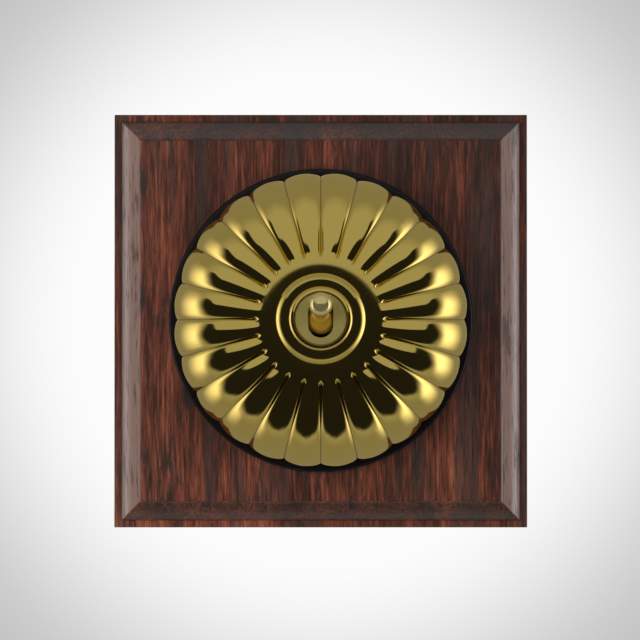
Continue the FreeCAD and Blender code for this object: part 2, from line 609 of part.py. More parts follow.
def common_terminal():
    """The rocker's bracket, two ears on a foot, with a strip out to the terminal at the side."""
    end = SHELF_END_X - TERMINAL_END_MARGIN
    strip_length = end + BRACKET_WIDTH / 2
    strip_centre = (end - BRACKET_WIDTH / 2) / 2
    foot = block(strip_length, BRACKET_FOOT, CHAMBER_FLOOR, STRIP_TOP, (strip_centre, 0.0))
    ears = []
    for side in (1, -1):
        inside = ROCKER_WIDTH / 2 + BRACKET_SIDE_GAP
        centre = side * (inside + BRACKET_EAR / 2)
        ears.append(block(BRACKET_EAR, 2 * BRACKET_EAR_RADIUS, CHAMBER_FLOOR, ROCKER_LEVEL, (centre, 0.0)))
        start = vector(centre - BRACKET_EAR / 2, 0, ROCKER_LEVEL)
        ears.append(Part.makeCylinder(BRACKET_EAR_RADIUS, BRACKET_EAR, start, ACROSS))
    bracket = foot.fuse(ears).removeSplitter()
    return bracket.cut([cross_rod(PIN_RADIUS, BRACKET_WIDTH, ROCKER_LEVEL),
                        post((TERMINAL_X, 0.0), SCREW_RADIUS, CHAMBER_FLOOR, STRIP_TOP)])


def fixed_terminal(side):
    """A strip from under the rocker's arm out to a terminal, above or below."""
    end = SHELF_END_Y - TERMINAL_END_MARGIN
    centre = (0.0, side * (STRIP_START + end) / 2)
    strip = block(STRIP_WIDTH, end - STRIP_START, CHAMBER_FLOOR, STRIP_TOP, centre)
    return strip.cut(post((0.0, side * TERMINAL_Y), SCREW_RADIUS, CHAMBER_FLOOR, STRIP_TOP))


def fixed_contact(side):
    return post((0.0, side * CONTACT_REACH), CONTACT_RADIUS, STRIP_TOP, STRIP_TOP + CONTACT_HEIGHT)


def switch_body():
    """The moulded body: a block with the contact chamber and a low shelf for each terminal."""
    tunnel_top = STRIP_TOP + STRIP_CLEARANCE
    strip_tunnel = STRIP_WIDTH + 2 * STRIP_CLEARANCE
    foot_tunnel = BRACKET_FOOT + 2 * STRIP_CLEARANCE
    shelf_centre = (SHELF_END_X / 2, 0.0)
    walls = rounded_block(BODY_WIDTH, BODY_HEIGHT, RIM_LEVEL, BODY_TOP, BODY_CORNER)
    shelves = [block(SHELF_WIDTH, 2 * SHELF_END_Y, RIM_LEVEL, CHAMBER_FLOOR),
               block(SHELF_END_X, SHELF_WIDTH, RIM_LEVEL, CHAMBER_FLOOR, shelf_centre)]
    cuts = [block(CHAMBER_WIDTH, CHAMBER_HEIGHT, CHAMBER_FLOOR, BODY_TOP),
            block(strip_tunnel, 2 * SHELF_END_Y, CHAMBER_FLOOR, tunnel_top),
            block(SHELF_END_X, foot_tunnel, CHAMBER_FLOOR, tunnel_top, shelf_centre)]
    cuts += posts(YOKE_SCREWS, SCREW_RADIUS + SCREW_CLEARANCE, RIM_LEVEL, BODY_TOP)
    cuts += posts(TERMINALS, SCREW_RADIUS + SCREW_CLEARANCE, RIM_LEVEL, CHAMBER_FLOOR)
    return walls.fuse(shelves).removeSplitter().cut(cuts)


def insulating_plate():
    plate = rounded_block(BODY_WIDTH, BODY_HEIGHT, BODY_TOP, YOKE_BOTTOM, BODY_CORNER)
    cuts = posts(YOKE_SCREWS, SCREW_RADIUS + SCREW_CLEARANCE, BODY_TOP, YOKE_BOTTOM)
    cuts.append(post((0.0, 0.0), BUSH_BORE_RADIUS + PLATE_HOLE_CLEARANCE, BODY_TOP, YOKE_BOTTOM))
    return plate.cut(cuts)


def yoke():
    """The brass plate that carries the bush, with a leg bent down beside the body to the earth tab."""
    plate = rounded_block(BODY_WIDTH, BODY_HEIGHT, YOKE_BOTTOM, YOKE_TOP, BODY_CORNER)
    leg_outside = EARTH_LEG_X - YOKE_THICKNESS
    tab_bottom = EARTH_TAB_TOP - YOKE_THICKNESS
    bridge = block(-leg_outside, EARTH_TAB_WIDTH, YOKE_BOTTOM, YOKE_TOP, (leg_outside / 2, 0.0))
    leg = block(YOKE_THICKNESS, EARTH_TAB_WIDTH, tab_bottom, YOKE_TOP, ((EARTH_LEG_X + leg_outside) / 2, 0.0))
    tab = block(EARTH_TAB_LENGTH, EARTH_TAB_WIDTH, tab_bottom, EARTH_TAB_TOP,
                ((EARTH_LEG_X + EARTH_TAB_END) / 2, 0.0))
    cuts = posts(YOKE_SCREWS, SCREW_RADIUS + SCREW_CLEARANCE, YOKE_BOTTOM, YOKE_TOP)
    cuts.append(post((0.0, 0.0), BUSH_BORE_RADIUS + BUSH_SPIGOT_WALL, YOKE_BOTTOM, YOKE_TOP))
    cuts.append(post(EARTH_SCREW, SCREW_RADIUS, tab_bottom, EARTH_TAB_TOP))
    return plate.fuse([bridge, leg, tab]).removeSplitter().cut(cuts)


os.makedirs("parts", exist_ok=True)
YOKE_SCREW_TIP = BLOCK_DEPTH - SCREW_BOSS_DEPTH + 2 * SCREW_END_ROOM
TERMINAL_SEAT = STRIP_TOP + WASHER_THICKNESS
TERMINAL_TIP = RIM_LEVEL + SCREW_END_ROOM
EARTH_SEAT = EARTH_TAB_TOP + WASHER_THICKNESS
save("oak_block", oak_block())
save("mount_base", mount_base())
save("base_screws", *[wood_screw(place) for place in WOOD_SCREWS])
save("dome_cover", dome_cover())
save("cover_ring", cover_ring())
save("bush", bush())
save("dolly", dolly())
save("pivot_pin", pivot_pin())
save("plunger", plunger())
save("plunger_spring", plunger_spring())
save("rocker", rocker())
save("moving_contacts", moving_contact(1), moving_contact(-1))
save("rocker_pin", rocker_pin())
save("common_terminal", common_terminal())
save("upper_terminal", fixed_terminal(1))
save("lower_terminal", fixed_terminal(-1))
save("fixed_contacts", fixed_contact(1), fixed_contact(-1))
save("switch_body", switch_body())
save("insulating_plate", insulating_plate())
save("yoke", yoke())
save("yoke_screws", *[machine_screw(place, YOKE_TOP, YOKE_SCREW_TIP) for place in YOKE_SCREWS])
save("terminal_screws", *[machine_screw(place, TERMINAL_SEAT, TERMINAL_TIP) for place in TERMINALS])
save("clamp_washers", *[clamp_washer(place, STRIP_TOP) for place in TERMINALS],
     clamp_washer(EARTH_SCREW, EARTH_TAB_TOP))
save("earth_screw", machine_screw(EARTH_SCREW, EARTH_SEAT, EARTH_SEAT - EARTH_SCREW_DEPTH))
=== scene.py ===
import math

import bmesh
import bpy
from mathutils import Matrix, Vector


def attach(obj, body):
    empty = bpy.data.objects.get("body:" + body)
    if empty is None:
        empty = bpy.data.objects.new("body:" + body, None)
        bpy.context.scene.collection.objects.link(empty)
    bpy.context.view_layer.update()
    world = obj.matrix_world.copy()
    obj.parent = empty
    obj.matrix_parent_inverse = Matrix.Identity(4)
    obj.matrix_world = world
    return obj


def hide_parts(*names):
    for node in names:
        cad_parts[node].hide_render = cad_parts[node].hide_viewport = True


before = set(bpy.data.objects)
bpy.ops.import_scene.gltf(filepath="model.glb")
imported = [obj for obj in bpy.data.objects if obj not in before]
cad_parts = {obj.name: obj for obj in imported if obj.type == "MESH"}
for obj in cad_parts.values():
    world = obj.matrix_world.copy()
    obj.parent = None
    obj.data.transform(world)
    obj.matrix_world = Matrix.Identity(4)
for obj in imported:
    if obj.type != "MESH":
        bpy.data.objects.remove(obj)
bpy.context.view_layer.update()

# The switch's own sizes, in metres: radii from its axis, and levels out from the wall.
MM = 0.001
BLOCK_HALF = 50.0 * MM
BLOCK_DEPTH = 18.0 * MM
MARGIN_WIDTH = 1.75 * MM
MARGIN_LEVEL = 12.0 * MM
OVOLO_SIZE = 4.3 * MM
OVOLO_BULGE = 0.5 * MM
QUIRK_WIDTH = 0.6 * MM
QUIRK_HEIGHT = 1.0 * MM
BLOCK_ARRIS = 0.18 * MM
WIRING_WIDTH = 40.0 * MM
WIRING_HEIGHT = 58.0 * MM
WIRING_CORNER = 6.0 * MM
WALL_HOLE_X = 30.15 * MM
WALL_HOLE_RADIUS = 2.1 * MM
WALL_HEAD_RADIUS = 3.6 * MM
WALL_HEAD_DEPTH = 1.5 * MM
BASE_RADIUS = 36.5 * MM
BASE_EDGE = 1.0 * MM
SPIGOT_GAP = 0.3 * MM
SPIGOT_WALL = 1.6 * MM
SPIGOT_HEIGHT = 2.0 * MM
CABLE_SLOT_WIDTH = 18.0 * MM
CABLE_SLOT_HEIGHT = 7.5 * MM
CABLE_SLOT_CORNER = 3.74 * MM
CABLE_SLOT_DROP = 24.75 * MM
STUD_X = 10.5 * MM
STUD_Z = 9.5 * MM
STUD_RADIUS = 3.2 * MM
STUD_HEIGHT = 4.5 * MM
STUD_CHAMFER = 0.3 * MM
STUD_BORE = 1.5 * MM
STUD_BORE_DEPTH = 0.5 * MM
RIM_LEVEL = 22.0 * MM
DOME_RADIUS = 35.1 * MM
EDGE_TURN = math.radians(62)
EDGE_ROUND = 1.2 * MM
CAVITY_RADIUS = 33.0 * MM
FLUTES = 24
FLUTE_DEPTH = 1.3 * MM
FLUTE_RIM_DEPTH = 0.95 * MM
FLUTE_INNER_KNEE = 0.25
FLUTE_OUTER_KNEE = 1.0
FLUTE_BRINK = 0.7
FLUTE_BRINK_FALL = 0.22
FLUTE_INNER = 14.3 * MM
FLUTE_RUNOUT = 1.8 * MM
VALLEY_SHARPNESS = 6
LAND_RADIUS = 12.1 * MM
LAND_LEVEL = 44.273 * MM
BOSS_RADIUS = 10.8 * MM
BOSS_ROUND = 1.5 * MM
BOSS_BULGE = 0.08 * MM
BOSS_LEVEL = LAND_LEVEL + BOSS_ROUND
BOSS_HOLE = 6.8 * MM
RING_BORE = 6.4 * MM
RING_RADIUS = 7.6 * MM
RING_ROUND = 1.1 * MM
RING_BULGE = 0.15 * MM
RING_TOP = 48.373 * MM
RING_CHAMFER = 0.1 * MM
THREAD_RADIUS = 6.35 * MM
BUSH_FACE = 47.673 * MM
BUSH_FLANGE = 8.0 * MM
BUSH_FLANGE_DEPTH = 1.2 * MM
BUSH_DISC = 1.0 * MM
BUSH_BORE = 4.7 * MM
BUSH_SPIGOT = 5.6 * MM
BUSH_EDGE = [(0.0, 0.35 * MM), (0.3 * MM, 0.05 * MM), (0.42 * MM, 0.0)]
SLOT_RADIUS = 2.9 * MM
SLOT_STRETCH = 1.5 * MM
SLOT_EDGE = [(0.22 * MM, 0.0), (0.06 * MM, 0.06 * MM), (0.0, 0.22 * MM)]
YOKE_TOP = 37.973 * MM
YOKE_BOTTOM = 36.773 * MM
PIVOT_LEVEL = 44.073 * MM
DOLLY_SWING = math.radians(14)
TAIL_RADIUS = 2.1 * MM
TAIL_REACH = 7.6 * MM
TAIL_BORE = 1.2 * MM
TAIL_BORE_DEPTH = 5.7 * MM
HUB_RADIUS = 3.75 * MM
STEM_RADIUS = 1.65 * MM
COLLAR_REACH = 5.1 * MM
COLLAR_HALF = 0.45 * MM
COLLAR_BULGE = 0.3 * MM
NECK_RADIUS = 1.45 * MM
BALL_RADIUS = 2.8 * MM
BALL_REACH = 13.2 * MM
PALE_BALL_START = 8.6 * MM
PALE_BALL_END = 10.2 * MM

# The moulding runs between the flat field and the margin.
MARGIN_HALF = BLOCK_HALF - MARGIN_WIDTH
FIELD_HALF = MARGIN_HALF - OVOLO_SIZE - QUIRK_WIDTH

# The dome's crests follow one arc from the land to a rounded edge, then a straight skirt.
CAP_ROUND = (DOME_RADIUS - EDGE_ROUND - LAND_RADIUS) / math.sin(EDGE_TURN) + EDGE_ROUND
CAP_CENTRE = LAND_LEVEL - CAP_ROUND
EDGE_CENTRE = CAP_CENTRE + (CAP_ROUND - EDGE_ROUND) * math.cos(EDGE_TURN)
CAVITY_ROUND = CAP_ROUND - DOME_RADIUS + CAVITY_RADIUS

# How near counts as touching, and as lying on the dome's cap.
TOUCHING = 0.002 * MM
ON_CAP = 0.001 * MM

# Edges that turn by more than the first stay sharp. On the block, those past the second are softened.
CRISP_TURN = math.radians(18)
ARRIS_TURN = math.radians(25)

# How finely each round shape is stepped.
BASE_STEPS = 192
LOBE_STEPS = 20
RING_STEPS = 128
LEVER_STEPS = 80
HOLE_STEPS = 48
STUD_STEPS = 40
CREST_STEPS = 70
CAVITY_STEPS = 20
EDGE_STEPS = 6
CORNER_STEPS = 10
BOW_STEPS = 12
HUB_STEPS = 26
BALL_STEPS = 32
FLOOR_STEPS = 64

# The turning tool's marks, as radians of a wave to the metre.
TOOL_MARKS = 26000.0

# The studio: degrees round and up from the camera's side, and how bright each part is.
OPENING_WIDTH = 80
OPENING_HEIGHT = 78
OPENING_GLOW = 0.016
BROW = 3.6
TENT_GLOW = 0.43
TENT_FALL = 0.15
BOX_HEIGHT = -5
BOX_COLOUR = (1.95, 1.84, 1.96)
BOX_LEFT_SHARE = 0.7
GROUND_WHITE = 0.975
GROUND_LIFT = 0.0152

# The photograph's view: the lens in millimetres, and places in metres from the middle of the block's back.
LENS = 263.0
SENSOR = 36.0
CAMERA_PLACE = (0.0, -1.145, -0.017)
CAMERA_AIM = (-0.00018, -0.012, 0.00024)
FLOOR_RADIUS = 1.6
FLOOR_LEVEL = -0.3


class Turning:
    """A section drawn by carrying one point along, then turned round the Y axis."""

    def __init__(self, radius, level):
        self.bm = bmesh.new()
        self.tip = self.bm.verts.new((radius, -level, 0))

    def to(self, radius, level):
        """Draws a straight line to a point."""
        self.tip = bmesh.ops.extrude_vert_indiv(self.bm, verts=[self.tip])["verts"][0]
        self.tip.co = (radius, -level, 0)
        return self

    def sweep(self, radius, level, turn, steps):
        """Carries the point round a centre."""
        arc = bmesh.ops.spin(self.bm, geom=[self.tip], cent=(radius, -level, 0), axis=(0, 0, 1),
                             angle=turn, steps=steps)
        self.tip = arc["geom_last"][0]
        return self

    def bow(self, radius, level, bulge):
        """Draws a shallow arc to a point, proud of the straight line by bulge."""
        half = (Vector((radius, level)) - Vector((self.tip.co.x, -self.tip.co.y))) / 2
        reach = (half.length_squared / bulge - bulge) / 2
        inward = Vector((-half.y, half.x)).normalized() * reach
        centre = Vector((radius, level)) - half + inward
        return self.sweep(centre.x, centre.y, -4 * math.atan(bulge / half.length), BOW_STEPS)

    def lathe(self, steps):
        """Turns the section through a full circle."""
        section = list(self.bm.verts) + list(self.bm.edges)
        bmesh.ops.spin(self.bm, geom=section, cent=(0, 0, 0), axis=(0, 1, 0), angle=math.tau,
                       steps=steps, use_merge=True)
        return closed(self.bm)


def closed(bm):
    """Merges what meets, and turns the faces outwards."""
    bmesh.ops.remove_doubles(bm, verts=bm.verts, dist=TOUCHING)
    bmesh.ops.recalc_face_normals(bm, faces=bm.faces)
    return bm


def piece(name, bm, material, body, node):
    """Makes an object that stands for a CAD node."""
    for face in bm.faces:
        face.smooth = True
    for edge in bm.edges:
        edge.smooth = len(edge.link_faces) != 2 or edge.calc_face_angle() < CRISP_TURN
    mesh = bpy.data.meshes.new(name)
    bm.to_mesh(mesh)
    bm.free()
    made = bpy.data.objects.new(name, mesh)
    bpy.context.scene.collection.objects.link(made)
    mesh.materials.append(material)
    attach(made, body)
    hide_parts(node)


def cut_away(bm, cutters):
    """Takes the cutters' shapes out of a shape."""
    scene = bpy.context.scene.collection
    objects = []
    for shape in [bm] + cutters:
        mesh = bpy.data.meshes.new("cutting")
        shape.to_mesh(mesh)
        shape.free()
        objects.append(bpy.data.objects.new("cutting", mesh))
        scene.objects.link(objects[-1])
    stock = objects[0]
    for cutter in objects[1:]:
        modifier = stock.modifiers.new("cut", "BOOLEAN")
        modifier.operation = "DIFFERENCE"
        modifier.solver = "EXACT"
        modifier.object = cutter
    result = bmesh.new()
    result.from_object(stock, bpy.context.evaluated_depsgraph_get())
    for used in objects:
        bpy.data.meshes.remove(used.data)
    return result


def drill(x, radius, low, high):
    """A round cutter between two levels."""
    bm = bmesh.new()
    place = Matrix.Translation((x, -(low + high) / 2, 0)) @ Matrix.Rotation(math.pi / 2, 4, "X")
    bmesh.ops.create_cone(bm, cap_ends=True, segments=HOLE_STEPS, radius1=radius, radius2=radius,
                          depth=high - low, matrix=place)
    return bm


def wide_slot(width, height, corner, low, high, z=0.0):
    """A cutter with rounded corners between two levels."""
    bm = bmesh.new()
    depth = high - low
    place = Matrix.Translation((0, -(low + high) / 2, z)) @ Matrix.Diagonal((width, depth, height, 1))
    bmesh.ops.create_cube(bm, size=1.0, matrix=place)
    corners = [edge for edge in bm.edges if abs((edge.verts[0].co - edge.verts[1].co).y) > depth / 2]
    bmesh.ops.bevel(bm, geom=corners, affect="EDGES", offset=corner, segments=CORNER_STEPS, profile=0.5,
                    material=-1, clamp_overlap=False)
    return closed(bm)


def smooth_step(value):
    """A soft step from 0 to 1."""
    value = min(max(value, 0.0), 1.0)
    return value * value * (3 - 2 * value)


def moulded_block():
    """The block's moulded section, turned in four steps so that the corners are mitred."""
    quirk_level = BLOCK_DEPTH - QUIRK_HEIGHT
    section = Turning(0, 0).to(BLOCK_HALF, 0).to(BLOCK_HALF, MARGIN_LEVEL).to(MARGIN_HALF, MARGIN_LEVEL)
    section.to(MARGIN_HALF, quirk_level - OVOLO_SIZE)
    section.bow(MARGIN_HALF - OVOLO_SIZE, quirk_level, OVOLO_BULGE)
    section.to(FIELD_HALF, BLOCK_DEPTH).to(0, BLOCK_DEPTH)
    bmesh.ops.scale(section.bm, verts=section.bm.verts, vec=(math.sqrt(2), 1, 1))
    bm = section.lathe(4)
    bmesh.ops.rotate(bm, verts=bm.verts, cent=(0, 0, 0), matrix=Matrix.Rotation(math.pi / 4, 3, "Y"))
    middles = [vert for vert in bm.verts if math.hypot(vert.co.x, vert.co.z) < MM]
    bmesh.ops.dissolve_verts(bm, verts=middles)
    hard = [edge for edge in bm.edges if edge.calc_face_angle() > ARRIS_TURN]
    bmesh.ops.bevel(bm, geom=hard, affect="EDGES", offset=BLOCK_ARRIS, segments=2, profile=0.5, material=-1)
    through = (-MM, BLOCK_DEPTH + MM)
    cutters = [wide_slot(WIRING_WIDTH, WIRING_HEIGHT, WIRING_CORNER, *through)]
    cutters += [drill(side * WALL_HOLE_X, WALL_HOLE_RADIUS, *through) for side in (1, -1)]
    return closed(cut_away(bm, cutters))


def base_disc():
    """The round base, with the spigot that centres the dome, its screw bosses and its openings."""
    spigot_outside = CAVITY_RADIUS - SPIGOT_GAP
    spigot_inside = spigot_outside - SPIGOT_WALL
    spigot_top = RIM_LEVEL + SPIGOT_HEIGHT
    section = Turning(0, BLOCK_DEPTH).to(BASE_RADIUS, BLOCK_DEPTH).to(BASE_RADIUS, RIM_LEVEL - BASE_EDGE)
    section.sweep(BASE_RADIUS - BASE_EDGE, RIM_LEVEL - BASE_EDGE, -math.pi / 2, CORNER_STEPS)
    section.to(spigot_outside, RIM_LEVEL).to(spigot_outside, spigot_top)
    section.to(spigot_inside, spigot_top).to(spigot_inside, RIM_LEVEL).to(0, RIM_LEVEL)
    through = (BLOCK_DEPTH - MM, RIM_LEVEL + MM)
    cutters = [wide_slot(CABLE_SLOT_WIDTH, CABLE_SLOT_HEIGHT, CABLE_SLOT_CORNER, *through,
                         z=-CABLE_SLOT_DROP)]
    for side in (1, -1):
        hole = side * WALL_HOLE_X
        cutters.append(drill(hole, WALL_HOLE_RADIUS, *through))
        cutters.append(drill(hole, WALL_HEAD_RADIUS, RIM_LEVEL - WALL_HEAD_DEPTH, spigot_top + MM))
    bm = cut_away(section.lathe(BASE_STEPS), cutters)
    foot = BLOCK_DEPTH - STUD_HEIGHT
    for side in (1, -1):
        boss = Turning(0, foot + STUD_BORE_DEPTH).to(STUD_BORE, foot + STUD_BORE_DEPTH)
        boss.to(STUD_BORE, foot).to(STUD_RADIUS - STUD_CHAMFER, foot)
        boss.to(STUD_RADIUS, foot + STUD_CHAMFER).to(STUD_RADIUS, BLOCK_DEPTH)
        stud = boss.lathe(STUD_STEPS)
        bmesh.ops.translate(stud, verts=stud.verts, vec=(side * STUD_X, 0, -side * STUD_Z))
        mesh = bpy.data.meshes.new("stud")
        stud.to_mesh(mesh)
        stud.free()
        bm.from_mesh(mesh)
        bpy.data.meshes.remove(mesh)
    return bm


def fluted_dome():
    """The dome's section, turned, with the flutes pressed into its outside."""
    edge_radius = DOME_RADIUS - EDGE_ROUND
    section = Turning(DOME_RADIUS, RIM_LEVEL).to(DOME_RADIUS, EDGE_CENTRE)
    section.sweep(edge_radius, EDGE_CENTRE, EDGE_TURN - math.pi / 2, EDGE_STEPS)
    section.sweep(LAND_RADIUS, CAP_CENTRE, -EDGE_TURN, CREST_STEPS)
    section.to(BOSS_RADIUS, LAND_LEVEL).bow(BOSS_RADIUS - BOSS_ROUND, BOSS_LEVEL, BOSS_BULGE)
    ceiling = CAP_CENTRE + CAVITY_ROUND
    section.to(BOSS_HOLE, BOSS_LEVEL).to(BOSS_HOLE, ceiling).to(LAND_RADIUS, ceiling)
    cavity_turn = math.asin((CAVITY_RADIUS - LAND_RADIUS) / CAVITY_ROUND)
    section.sweep(LAND_RADIUS, CAP_CENTRE, cavity_turn, CAVITY_STEPS)
    section.to(CAVITY_RADIUS, RIM_LEVEL).to(DOME_RADIUS, RIM_LEVEL)
    bm = section.lathe(FLUTES * LOBE_STEPS)
    # A lobe is round up to its knee, then falls straight, with a brink that drops into the valley.
    valley = bm.verts.layers.float.new("valley")
    pitch = math.tau / FLUTES
    for vert in bm.verts:
        radius, level = math.hypot(vert.co.x, vert.co.z), -vert.co.y
        lean = math.atan2(radius - LAND_RADIUS, level - CAP_CENTRE)
        off_cap = math.hypot(radius - LAND_RADIUS, level - CAP_CENTRE) - CAP_ROUND
        if lean > EDGE_TURN and radius > edge_radius:
            lean = math.atan2(radius - edge_radius, max(level - EDGE_CENTRE, 0.0))
        elif radius < FLUTE_INNER or abs(off_cap) > ON_CAP:
            continue
        off_ridge = abs(math.atan2(vert.co.z, vert.co.x) % pitch - pitch / 2) / (pitch / 2)
        fade = smooth_step((radius - FLUTE_INNER) / FLUTE_RUNOUT)
        share = (radius - FLUTE_INNER) / (DOME_RADIUS - FLUTE_INNER)
        knee = FLUTE_INNER_KNEE + (FLUTE_OUTER_KNEE - FLUTE_INNER_KNEE) * share
        rounding = 2 * knee / math.pi
        fall = rounding * (1 - math.cos(min(off_ridge / rounding, math.pi / 2))) + max(off_ridge - knee, 0)
        fall += FLUTE_BRINK_FALL * (max(off_ridge - FLUTE_BRINK, 0) / (1 - FLUTE_BRINK)) ** 2
        depth = FLUTE_DEPTH + (FLUTE_RIM_DEPTH - FLUTE_DEPTH) * share
        outwards = Vector((vert.co.x, 0, vert.co.z)).normalized() * math.sin(lean)
        outwards.y = -math.cos(lean)
        vert.co -= outwards * depth * fade * fall / (rounding + 1 - knee + FLUTE_BRINK_FALL)
        vert[valley] = fade * off_ridge ** VALLEY_SHARPNESS
    bmesh.ops.recalc_face_normals(bm, faces=bm.faces)
    return bm


def ring_nut():
    """The ring nut's section, turned."""
    section = Turning(RING_BORE, BOSS_LEVEL).to(RING_RADIUS - RING_CHAMFER, BOSS_LEVEL)
    section.to(RING_RADIUS, BOSS_LEVEL + RING_CHAMFER).to(RING_RADIUS, RING_TOP - RING_ROUND)
    section.bow(RING_RADIUS - RING_ROUND, RING_TOP, RING_BULGE)
    section.to(RING_BORE, RING_TOP - RING_CHAMFER).to(RING_BORE, BOSS_LEVEL)
    return section.lathe(RING_STEPS)


def rim_loop(bm, radius, level, stretch=0.0):
    """The edges of a circle round the axis, pulled apart up and down by stretch."""
    place = Matrix.Translation((0, -level, 0)) @ Matrix.Rotation(math.pi / 2, 4, "X")
    ring = bmesh.ops.create_circle(bm, segments=RING_STEPS, radius=radius, matrix=place)["verts"]
    for vert in ring:
        vert.co.z += stretch if vert.co.z >= 0 else -stretch
    return list({edge for vert in ring for edge in vert.link_edges})


def slotted_bush():
    """The bush, bridged from loop to loop: flange, barrel, front face, slot, bore and spigot."""
    bm = bmesh.new()
    flange_top = YOKE_TOP + BUSH_FLANGE_DEPTH
    disc_back = BUSH_FACE - BUSH_DISC
    path = [(BUSH_FLANGE, YOKE_TOP), (BUSH_FLANGE, flange_top), (THREAD_RADIUS, flange_top)]
    path += [(THREAD_RADIUS - aside, BUSH_FACE - down) for aside, down in BUSH_EDGE]
    path += [(SLOT_RADIUS + aside, BUSH_FACE - down, SLOT_STRETCH) for aside, down in SLOT_EDGE]
    path += [(SLOT_RADIUS, disc_back, SLOT_STRETCH), (BUSH_BORE, disc_back), (BUSH_BORE, YOKE_BOTTOM),
             (BUSH_SPIGOT, YOKE_BOTTOM), (BUSH_SPIGOT, YOKE_TOP)]
    loops = [rim_loop(bm, *place) for place in path]
    for one, other in zip(loops, loops[1:] + loops[:1]):
        bmesh.ops.bridge_loops(bm, edges=one + other)
    return closed(bm)


def lever():
    """The dolly: a bored tail, a ball hub, a collar, a tapered neck and a ball, tilted to its rest."""
    hub_foot, hub_top = math.acos(TAIL_RADIUS / HUB_RADIUS), math.acos(STEM_RADIUS / HUB_RADIUS)
    neck_turn = math.acos(NECK_RADIUS / BALL_RADIUS)
    bore_end = TAIL_BORE_DEPTH - TAIL_REACH
    section = Turning(0, bore_end).to(TAIL_BORE, bore_end).to(TAIL_BORE, -TAIL_REACH)
    section.to(TAIL_RADIUS, -TAIL_REACH).to(TAIL_RADIUS, -HUB_RADIUS * math.sin(hub_foot))
    section.sweep(0, 0, -hub_foot - hub_top, HUB_STEPS)
    section.to(STEM_RADIUS, COLLAR_REACH - COLLAR_HALF)
    section.bow(STEM_RADIUS, COLLAR_REACH + COLLAR_HALF, COLLAR_BULGE)
    section.to(NECK_RADIUS, BALL_REACH - BALL_RADIUS * math.sin(neck_turn))
    section.sweep(0, BALL_REACH, -neck_turn - math.pi / 2, BALL_STEPS)
    bm = section.lathe(LEVER_STEPS)
    bmesh.ops.rotate(bm, verts=bm.verts, cent=(0, 0, 0), matrix=Matrix.Rotation(-DOLLY_SWING, 3, "X"))
    bmesh.ops.translate(bm, verts=bm.verts, vec=(0, -PIVOT_LEVEL, 0))
    return bm


class Field:
    """What a node gives. Arithmetic on it adds Math nodes, and make() adds any other node."""

    def __init__(self, tree, output=None):
        self.tree = tree
        self.output = output

    def make(self, kind, inputs, output=0, stops=None, **settings):
        """Adds a node: its settings and a ramp's stops first, then the values or links of its sockets."""
        node = self.tree.nodes.new("ShaderNode" + kind)
        for name, value in settings.items():
            setattr(node, name, value)
        for place, colour in stops or []:
            element = node.color_ramp.elements.new(place)
            element.color = (*colour, 1.0)
        if stops:
            node.color_ramp.elements.remove(node.color_ramp.elements[0])
            node.color_ramp.elements.remove(node.color_ramp.elements[-1])
        for socket, value in inputs.items():
            if isinstance(value, Field):
                self.tree.links.new(value.output, node.inputs[socket])
            else:
                node.inputs[socket].default_value = value
        return Field(self.tree, node.outputs[output])

    def math(self, operation, *others):
        """Adds a Math node that starts from this."""
        return self.make("Math", dict(enumerate((self, *others))), operation=operation)

    def __add__(self, other):
        return self.math("ADD", other)

    def __sub__(self, other):
        return self.math("SUBTRACT", other)

    def __rsub__(self, other):
        return self.make("Math", {0: other, 1: self}, operation="SUBTRACT")

    def __mul__(self, other):
        return self.math("MULTIPLY", other)

    def __truediv__(self, other):
        return self.math("DIVIDE", other)

    __radd__ = __add__
    __rmul__ = __mul__

    def step(self, low, high):
        """A soft step from 0 at low to 1 at high."""
        return self.make("MapRange", {"Value": self, "From Min": low, "From Max": high},
                         interpolation_type="SMOOTHSTEP")

    def mix(self, first, second):
        """One colour where this is 0 and another where it is 1."""
        return self.make("Mix", {0: self, 6: first, 7: second}, output=2, data_type="RGBA")

    def other(self, name):
        """Another output of the same node."""
        return Field(self.tree, self.output.node.outputs[name])


class Finish:
    """A material with one shader, and the place on the switch that its pattern is drawn by."""

    def __init__(self, name):
        self.material = bpy.data.materials.new(name)
        self.material.use_nodes = True
        self.tree = self.material.node_tree
        self.start = Field(self.tree)
        self.place = self.start.make("TexCoord", {}, output="Object")

    def noise(self, across, along, detail=3.0, roughness=0.55, shift=0.0):
        """Noise with so many spots to the metre across the grain and along it, which runs up the switch."""
        spots = self.start.make("Mapping", {"Vector": self.place, "Location": (shift, shift, shift),
                                            "Scale": (across, across, along)})
        return self.start.make("TexNoise", {"Vector": spots, "Scale": 1.0, "Detail": detail,
                                            "Roughness": roughness})

    def bump(self, height, depth):
        """The normal of a surface whose relief is so many metres deep."""
        return self.start.make("Bump", {"Height": height, "Strength": 1.0, "Distance": depth})

    def shade(self, **sockets):
        """Sets the shader's sockets, named with _ for a space, to values or fields."""
        shader = self.tree.nodes["Principled BSDF"]
        for name, value in sockets.items():
            socket = shader.inputs[name.replace("_", " ")]
            if isinstance(value, Field):
                self.tree.links.new(value.output, socket)
            else:
                socket.default_value = value
        return self.material


def colour(red, green, blue):
    """An opaque colour."""
    return (red, green, blue, 1.0)


